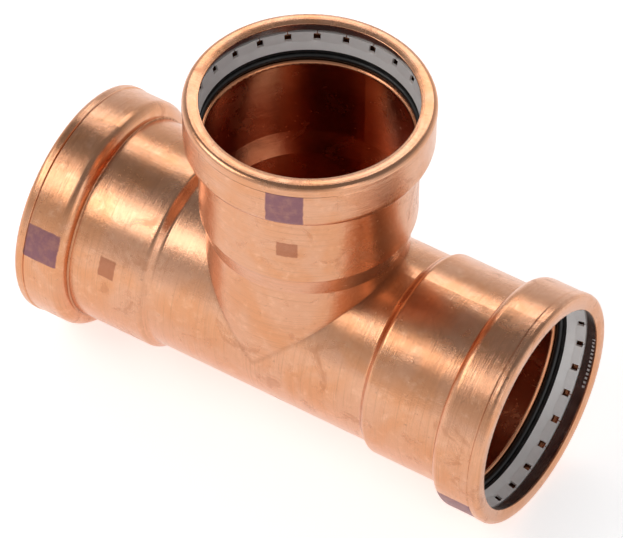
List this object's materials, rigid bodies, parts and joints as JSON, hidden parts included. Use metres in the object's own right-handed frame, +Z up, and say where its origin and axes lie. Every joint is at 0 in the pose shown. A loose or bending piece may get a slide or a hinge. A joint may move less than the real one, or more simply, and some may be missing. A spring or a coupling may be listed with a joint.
{
  "type": "press tee fitting",
  "caption": "Equal copper press tee with beaded sockets, each holding a sealing ring, separator, toothed grip ring and retaining ring.",
  "frame": {"origin": "middle of the bottom of the fitting's box, under the crossing of the run and branch axes, on the surface that the run's beads stand on", "axes": "+X along the run towards the right mouth, +Z up along the branch towards its mouth, Y across"},
  "size_m": [0.1802, 0.0814, 0.133],
  "materials": {
    "copper": "satin formed copper with draw lines",
    "polished_steel": "dark polished stainless band",
    "spring_steel": "satin stainless spring steel",
    "black_plastic": "matte moulded",
    "seal_rubber": "lubricated EPDM"
  },
  "bodies": {
    "tee": {"tee_body": "copper", "right_retaining_ring": "polished_steel", "right_seal_ring": "seal_rubber", "left_retaining_ring": "polished_steel", "left_seal_ring": "seal_rubber", "branch_retaining_ring": "polished_steel", "branch_seal_ring": "seal_rubber"},
    "right_grip": {"right_grip_ring": "spring_steel"},
    "right_separator": {"right_separator_ring": "black_plastic"},
    "left_grip": {"left_grip_ring": "spring_steel"},
    "left_separator": {"left_separator_ring": "black_plastic"},
    "branch_grip": {"branch_grip_ring": "spring_steel"},
    "branch_separator": {"branch_separator_ring": "black_plastic"}
  },
  "joints": [
    {"name": "right_grip_turn", "type": "hinge", "parent": "tee", "child": "right_grip", "pos_m": [0.09014, 0, 0.04072], "axis": [1, 0, 0], "continuous": true},
    {"name": "right_separator_turn", "type": "hinge", "parent": "tee", "child": "right_separator", "pos_m": [0.09014, 0, 0.04072], "axis": [1, 0, 0], "continuous": true},
    {"name": "left_grip_turn", "type": "hinge", "parent": "tee", "child": "left_grip", "pos_m": [-0.09014, 0, 0.04072], "axis": [-1, 0, 0], "continuous": true},
    {"name": "left_separator_turn", "type": "hinge", "parent": "tee", "child": "left_separator", "pos_m": [-0.09014, 0, 0.04072], "axis": [-1, 0, 0], "continuous": true},
    {"name": "branch_grip_turn", "type": "hinge", "parent": "tee", "child": "branch_grip", "pos_m": [0, 0, 0.13295], "axis": [0, 0, 1], "continuous": true},
    {"name": "branch_separator_turn", "type": "hinge", "parent": "tee", "child": "branch_separator", "pos_m": [0, 0, 0.13295], "axis": [0, 0, 1], "continuous": true}
  ]
}
